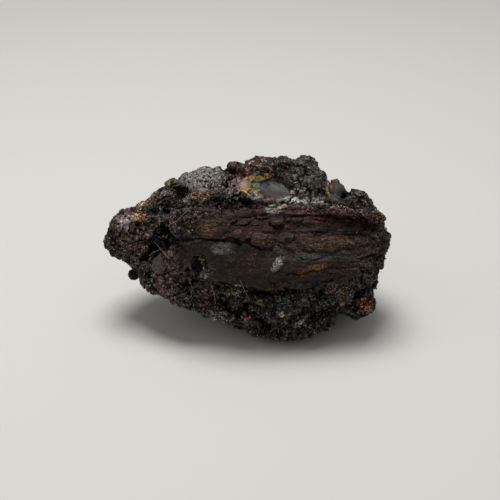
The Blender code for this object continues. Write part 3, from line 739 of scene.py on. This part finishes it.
# %% Hand the paint and the shares to the mesh
def store(mesh, name, values):
    """One number for every point of a mesh, which the material reads by name."""
    layer = mesh.attributes.new(name, "FLOAT", "POINT")
    layer.data.foreach_set("value", values.astype(np.float32))


def coat(mesh, colours):
    """One colour, in thousandths, for every point of a mesh."""
    layer = mesh.attributes.new("paint", "FLOAT_COLOR", "POINT")
    opaque = np.column_stack((colours / 1000.0, np.ones(len(colours))))
    layer.data.foreach_set("color", opaque.astype(np.float32).ravel())


coat(skin.data, colour)
smooth = 0.4 * film + 0.5 * film_smooth + 0.35 * block + 0.12 * sheet + 0.8 * boss_cap
smooth += 0.8 * knob + 0.8 * bead + 0.5 * haze + 0.35 * mica + 0.25 * wall
smooth = np.clip(smooth, 0.0, 1.0)
store(skin.data, "smooth", smooth)
store(skin.data, "layered", np.clip(leaves + 0.8 * sheet + 0.5 * plain, 0.0, 1.0))
# The share "low" carries the painted shade of hollows, cracks and seams to the material.
store(skin.data, "low", low)
print("smooth share", round(float(smooth.mean()), 3))

# %% [markdown]
# The crust glitters because it is made of tiny crystal faces, so its triangles
# are left flat, and only the smooth places are shaded round. The net is too
# fine for one piece, so it is parted into four. They meet point to point, so no
# gap shows between them.

# %% Part the skin
bm = bmesh.new()
bm.from_mesh(skin.data)
bmesh.ops.triangulate(bm, faces=bm.faces, quad_method="SHORT_EDGE", ngon_method="BEAUTY")
bm.to_mesh(skin.data)
bm.free()
corners = np.empty(len(skin.data.polygons) * 3, dtype=np.int64)
skin.data.loops.foreach_get("vertex_index", corners)
corners = corners.reshape(-1, 3)
SHADED_ROUND = 0.42
NOSE_CUT = -16.0
FRONT_CUT = 4.0
FOOT_CUT = 1.0
skin.data.polygons.foreach_set("use_smooth", smooth[corners].mean(axis=1) > SHADED_ROUND)
nose_side = along < NOSE_CUT
front = out > FRONT_CUT
PARTS = {
    "nose_end": nose_side,
    "show_face": ~nose_side & front,
    "crown_and_back": ~nose_side & ~front & (up > FOOT_CUT),
    "foot_and_back": ~nose_side & ~front & (up <= FOOT_CUT),
}
pieces = []


def as_piece(name, mesh):
    """An object of the mesh that stands for the solid, moves with it and takes its finish."""
    piece = put(name, mesh)
    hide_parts("goethite")
    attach(piece, "root")
    pieces.append(piece)
    print(name, len(mesh.polygons), "faces")


def parted(name, kept):
    """The faces whose first corner is kept, as a piece of its own."""
    bm = bmesh.new()
    bm.from_mesh(skin.data)
    bm.faces.ensure_lookup_table()
    keep_face = kept[corners[:, 0]]
    spare = [face for face, keep in zip(bm.faces, keep_face.tolist()) if not keep]
    bmesh.ops.delete(bm, geom=spare, context="FACES")
    as_piece(name, mesh_of(name, bm))


for name, kept in PARTS.items():
    parted(name, kept)
bpy.data.objects.remove(skin)

# %% [markdown]
# One black bead hangs from the lower left of the stone by a thin stalk. The net
# is too coarse to keep it round, so it is a small ball of its own.

# %% The bead
def small_piece(name, bm, paint, share):
    """A mesh of one paint, with one of the shares at 1 all over it."""
    mesh = mesh_of(name, bm)
    size = len(mesh.vertices)
    coat(mesh, np.tile(PAINTS[paint], (size, 1)))
    store(mesh, share, np.ones(size))
    as_piece(name, mesh)


BEAD_RADIUS = 1.75 * MM
BEAD_LUMPS = 0.12
bead_middle = Vector(FACE_MIDDLE + ALONG * -35.2 * MM + UP * -8.5 * MM + OUT * 3.2 * MM)
bm = bmesh.new()
bmesh.ops.create_icosphere(bm, subdivisions=4, radius=BEAD_RADIUS, matrix=Matrix.Translation(bead_middle))
for vertex in bm.verts:
    away = vertex.co - bead_middle
    lump = noise.fractal(vertex.co / (1.2 * MM), 0.9, 2.1, 4)
    vertex.co = bead_middle + away * (1.0 + BEAD_LUMPS * lump)
# The share "low" at 1 takes the glints off the bead and darkens it all over with the painted shade.
small_piece("black_bead", bm, "jet", "low")

# %% [markdown]
# A few hair-thin pale fibres lie across the left half. Each is a thread of three
# sides that rests on the highest points it crosses, so it is a shape of its own
# and not a painted line.

# %% Fibres
FIBRES = (
    ((-32.4, 9.6), (-28.3, 9.5), (-26.3, 12.6)),
    ((-29.3, 1.8), (-26.9, -0.9), (-24.5, -3.7)),
    ((-30.7, -2.7), (-29.2, -1.5), (-27.4, -0.9)),
    ((-25, 6.6), (-22.1, 8)),
    ((-22.4, 7.8), (-19.9, 10.3), (-17.7, 12.4)),
    ((-15.5, 13), (-12.3, 15.9)),
    ((-11.6, -11.2), (-10.6, -14.5), (-10, -17.8)),
    ((-2.5, -10.3), (-1.3, -13), (0.2, -16)),
    ((-18.5, -9.5), (-17.3, -12.8), (-17.6, -15.4)),
)
FIBRE_RADIUS = 0.07
SAMPLES = 24
REACH = 0.45
SPAN = 3
seen_along, seen_up, seen_out = on_the_face(moved)


def laid_on(bends):
    """Points of a taut thread over the highest places between its corners."""
    spots = np.array(bends)
    where = np.linspace(0.0, len(spots) - 1.0, SAMPLES)
    x = np.interp(where, np.arange(len(spots)), spots[:, 0])
    y = np.interp(where, np.arange(len(spots)), spots[:, 1])
    height = np.array([seen_out[np.hypot(seen_along - a, seen_up - b) < REACH].max() for a, b in zip(x, y)])
    taut = np.array([height[max(0, i - SPAN):i + SPAN + 1].max() for i in range(SAMPLES)])
    window = np.ones(2 * SPAN + 1) / (2 * SPAN + 1)
    taut = np.convolve(np.pad(taut, SPAN, mode="edge"), window, mode="valid") + FIBRE_RADIUS
    nearer = EYE_DISTANCE / (EYE_DISTANCE - taut * MM)
    return FACE_MIDDLE + MM * (np.outer(x / nearer, ALONG) + np.outer(y / nearer, UP) + np.outer(taut, OUT))


# %% Draw the fibres out
bm = bmesh.new()
for bends in FIBRES:
    middle = [Vector(spot) for spot in laid_on(bends)]
    turn = (middle[-1] - middle[0]).to_track_quat("Z", "Y").to_matrix().to_4x4()
    start = Matrix.Translation(middle[0]) @ turn
    ring = bmesh.ops.create_circle(bm, cap_ends=True, segments=3, radius=FIBRE_RADIUS * MM, matrix=start)
    edges = [edge for edge in bm.edges if edge.verts[0] in ring["verts"] and edge.verts[1] in ring["verts"]]
    for here, beyond in zip(middle, middle[1:]):
        drawn = bmesh.ops.extrude_edge_only(bm, edges=edges)["geom"]
        edges = [part for part in drawn if isinstance(part, bmesh.types.BMEdge)]
        ring_ends = [part for part in drawn if isinstance(part, bmesh.types.BMVert)]
        bmesh.ops.translate(bm, verts=ring_ends, vec=beyond - here)
    bmesh.ops.contextual_create(bm, geom=edges)
bmesh.ops.recalc_face_normals(bm, faces=bm.faces)
small_piece("fibres", bm, "pale grey", "smooth")

# %% [markdown]
# Shader maths reads best as sums. This small class holds one output socket, and
# each operator on it adds a Math node. Any other node comes from one function.

# %% A socket that can be added and multiplied
class Value:
    """One output socket of a material, for use in sums."""

    def __init__(self, kit, socket):
        self.kit = kit
        self.socket = socket

    def maths(self, operation, first, second):
        return self.kit.node("Math", {"operation": operation}, {0: first, 1: second})

    def __add__(self, other):
        return self.maths("ADD", self, other)

    def __mul__(self, other):
        return self.maths("MULTIPLY", self, other)

    def __sub__(self, other):
        return self.maths("SUBTRACT", self, other)

    def __rsub__(self, other):
        return self.maths("SUBTRACT", other, self)

    __radd__ = __add__
    __rmul__ = __mul__

    def between(self, low, high, start=0.0, end=1.0):
        """The value moved from one range to another, and held inside it."""
        ends = {0: self, 1: low, 2: high, 3: start, 4: end}
        return self.kit.node("MapRange", {"interpolation_type": "SMOOTHSTEP"}, ends)


class Finish:
    """A material under construction."""

    def __init__(self, name):
        self.material = bpy.data.materials.new(name)
        self.material.use_nodes = True
        self.tree = self.material.node_tree
        self.shader = self.tree.nodes["Principled BSDF"]

    def join(self, value, socket):
        if isinstance(value, Value):
            self.tree.links.new(value.socket, socket)
        else:
            socket.default_value = value

    def node(self, kind, settings, sockets, output=0):
        made = self.tree.nodes.new("ShaderNode" + kind)
        for name, value in settings.items():
            setattr(made, name, value)
        for name, value in sockets.items():
            self.join(value, made.inputs[name])
        return Value(self, made.outputs[output])

    def mix(self, share, first, second, blend="MIX"):
        settings = {"data_type": "RGBA", "blend_type": blend}
        return self.node("Mix", settings, {0: share, 6: first, 7: second}, 2)

    def grey(self, value):
        return self.node("CombineColor", {}, {0: value, 1: value, 2: value})

    def read(self, name, output="Fac"):
        return self.node("Attribute", {"attribute_name": name}, {}, output)


# %% [markdown]
# The paint on the mesh stops at about a third of a millimetre. Below that the
# material varies every grain a little, drops in dark specks and a few glinting
# crystal faces, and runs hair-thin streaks along the slab. The same patterns
# drive the bump, so colour and relief agree.

# %% The goethite material
PAINT_GAIN = 1.9
goethite = Finish("goethite_stone")
place = goethite.node("TexCoord", {}, {}, "Object")
lean_back = (LEAN - math.pi / 2, 0.0, 0.0)
turned = goethite.node("Mapping", {}, {"Vector": place, "Rotation": lean_back})
streaked = goethite.node("Mapping", {}, {"Vector": turned, "Scale": (0.16, 1.0, 1.0)})
paint = goethite.read("paint", "Color")
smooth_share = goethite.read("smooth")
layered = goethite.read("layered")
painted_shade_share = goethite.read("low")


def specks(where, scale, detail=3.0, distortion=0.0):
    sockets = {"Vector": where, "Scale": scale, "Detail": detail, "Distortion": distortion}
    return goethite.node("TexNoise", {}, sockets, "Fac")


warp = goethite.node("TexNoise", {}, {"Vector": place, "Scale": 1100.0, "Detail": 2.0}, "Color")
WARP = (0.0007, 0.0007, 0.0007)
bent = goethite.node("VectorMath", {"operation": "MULTIPLY_ADD"}, {0: warp, 1: WARP, 2: place})


def tiles(scale, output, feature="F1"):
    sockets = {"Vector": bent, "Scale": scale}
    return goethite.node("TexVoronoi", {"feature": feature}, sockets, output)


def channel(colour, output):
    return goethite.node("SeparateColor", {}, {0: colour}, output)


FULL_TURN = 6.28
cell_turn = {0: tiles(420.0, "Color"), "Scale": FULL_TURN}
cell_turn = goethite.node("VectorMath", {"operation": "SCALE"}, cell_turn)
rolled = {"Vector": bent, "Rotation": cell_turn}
rolled = goethite.node("VectorRotate", {"rotation_type": "EULER_XYZ"}, rolled)
stroked = goethite.node("Mapping", {}, {"Vector": rolled, "Scale": (0.22, 1.0, 1.0)})
strokes = specks(stroked, 2300.0, 2.0)
dust = specks(place, 2200.0, 3.0)
mottle = specks(place, 420.0, 3.0)
hue = specks(place, 600.0, 2.0, 0.5)
streaks = specks(streaked, 1700.0, 4.0, 0.4)
grain_colour = tiles(1700.0, "Color")
grain_tone = channel(grain_colour, 0)
grain_hue = channel(grain_colour, 1)
grain_edge = tiles(1700.0, "Distance", "DISTANCE_TO_EDGE")
rough_share = 1.0 - smooth_share

# %% The colour and the bump of the goethite
tone = (0.45 + grain_tone * grain_tone * 1.5) * grain_edge.between(0.0, 0.08, 0.75, 1.02)
tone = tone * strokes.between(0.38, 0.66, 0.28, 1.85)
tone = tone * dust.between(0.4, 0.64, 0.52, 1.55) * mottle.between(0.3, 0.7, 0.7, 1.3)
streak_tone = streaks.between(0.32, 0.68, 0.5, 1.5)
tone = tone * (1.0 - layered * 0.5) + streak_tone * layered * 0.5
tone = tone * rough_share + smooth_share
# Painted shade: the tone is darkened again where the share "low" is high.
tone = tone * (1.0 - painted_shade_share * 0.35)
stone_colour = goethite.mix(1.0, paint, goethite.grey(tone * PAINT_GAIN), "MULTIPLY")
tint = goethite.mix(hue.between(0.35, 0.65), (1.08, 0.98, 0.94, 1.0), (0.94, 1.0, 1.0, 1.0))
stone_colour = goethite.mix(rough_share, stone_colour, tint, "MULTIPLY")
grain_tint = goethite.mix(grain_hue, (1.1, 0.97, 0.94, 1.0), (0.93, 1.01, 1.02, 1.0))
stone_colour = goethite.mix(rough_share, stone_colour, grain_tint, "MULTIPLY")
sparkle = channel(tiles(2900.0, "Color"), 0)
glint = sparkle.between(0.955, 0.965) * (1.0 - layered.between(0.2, 0.7)) * rough_share.between(0.5, 1.0)
glint = glint * (1.0 - painted_shade_share)
# The glinting grains are metal and glossy, and their base colour is also painted paler, a painted glint.
pale = goethite.mix(glint * 0.8, stone_colour, (0.42, 0.4, 0.37, 1.0))
goethite.join(pale, goethite.shader.inputs["Base Color"])
goethite.join(glint * 0.7, goethite.shader.inputs["Metallic"])
gloss = 0.6 - glint * 0.3 - smooth_share * 0.2 + (dust - 0.5) * 0.4
goethite.join(gloss, goethite.shader.inputs["Roughness"])
goethite.join(0.15, goethite.shader.inputs["Specular IOR Level"])
bumps = dust * 0.6 + strokes * 0.5 + grain_edge.between(0.0, 0.3) * 0.5
bumps = bumps * (1.0 - layered * 0.6) + streaks * layered
bumps = bumps * (1.0 - smooth_share * 0.85)
bump = goethite.node("Bump", {}, {"Height": bumps, "Strength": 0.85, "Distance": 0.00025})
goethite.join(bump, goethite.shader.inputs["Normal"])
for piece in pieces:
    piece.data.materials.clear()
    piece.data.materials.append(goethite.material)
print("material nodes", len(goethite.tree.nodes))

# %% [markdown]
# The stone lies on a plain pale sheet, so wide that its edge stays out of the
# picture. It takes the soft shadow, which shows how the stone stands.

# %% The floor
FLOOR_HALF = 1.2
bm = bmesh.new()
bmesh.ops.create_grid(bm, x_segments=1, y_segments=1, size=FLOOR_HALF)
floor = put("floor", mesh_of("floor", bm))
paper = Finish("pale_floor")
paper.join((0.8, 0.79, 0.765, 1.0), paper.shader.inputs["Base Color"])
paper.join(0.9, paper.shader.inputs["Roughness"])
paper.join(0.2, paper.shader.inputs["Specular IOR Level"])
floor.data.materials.append(paper.material)
print("floor", tuple(floor.dimensions))

# %% [markdown]
# The light in the picture is soft and comes mostly from straight above, as in a
# light tent: the shadow is a narrow dark band under the stone that fades out on
# all sides. One lamp above does that, with two weak ones at the left and in
# front to open the face, and a pale sky for the rest.

# %% Lights
LIT_PLACE = Vector((0.0, 0.0, 0.02))


def turn_to(made, place, direction):
    """Put a lamp or a camera at a place, with its front along the direction."""
    made.location = place
    made.rotation_mode = "QUATERNION"
    made.rotation_quaternion = direction.to_track_quat("-Z", "Y")


def lamp(name, place, size, power, colour):
    data = bpy.data.lights.new(name, "AREA")
    data.size = size
    data.energy = power
    data.color = colour
    turn_to(put(name, data), place, LIT_PLACE - Vector(place))
    print(name, power, "watts")


lamp("lamp_above", (-0.06, 0.05, 0.63), 0.32, 2.86, (1.0, 0.985, 0.96))
lamp("lamp_left", (-0.48, -0.12, 0.3), 0.35, 0.15, (1.0, 0.99, 0.98))
lamp("lamp_front", (-0.1, -0.5, 0.45), 0.5, 0.1, (1.0, 0.98, 0.96))
world = bpy.data.worlds.new("soft_room")
bpy.context.scene.world = world
world.use_nodes = True
sky = world.node_tree.nodes["Background"]
sky.inputs["Color"].default_value = (0.99, 0.985, 0.975, 1.0)
sky.inputs["Strength"].default_value = 0.22
bpy.context.scene.view_settings.view_transform = "Standard"

# %% [markdown]
# The camera looks square on at the show face, so it is 30 degrees up. A long
# lens keeps the proportions flat, as in a product picture.

# %% Camera
LENS = 85.0
PIXEL = 0.311 * MM
AIM_RIGHT = 2.0 * PIXEL
AIM_DOWN = 3.0 * PIXEL
aim = FACE_MIDDLE + ALONG * AIM_RIGHT - UP * AIM_DOWN
camera_data = bpy.data.cameras.new("camera")
camera_data.lens = LENS
camera_data.sensor_width = 36.0
camera_data.clip_start = 0.01
camera = put("camera", camera_data)
turn_to(camera, Vector(aim + OUT * EYE_DISTANCE), Vector(-OUT))
bpy.context.scene.camera = camera
print("camera at", tuple(round(value, 4) for value in camera.location))
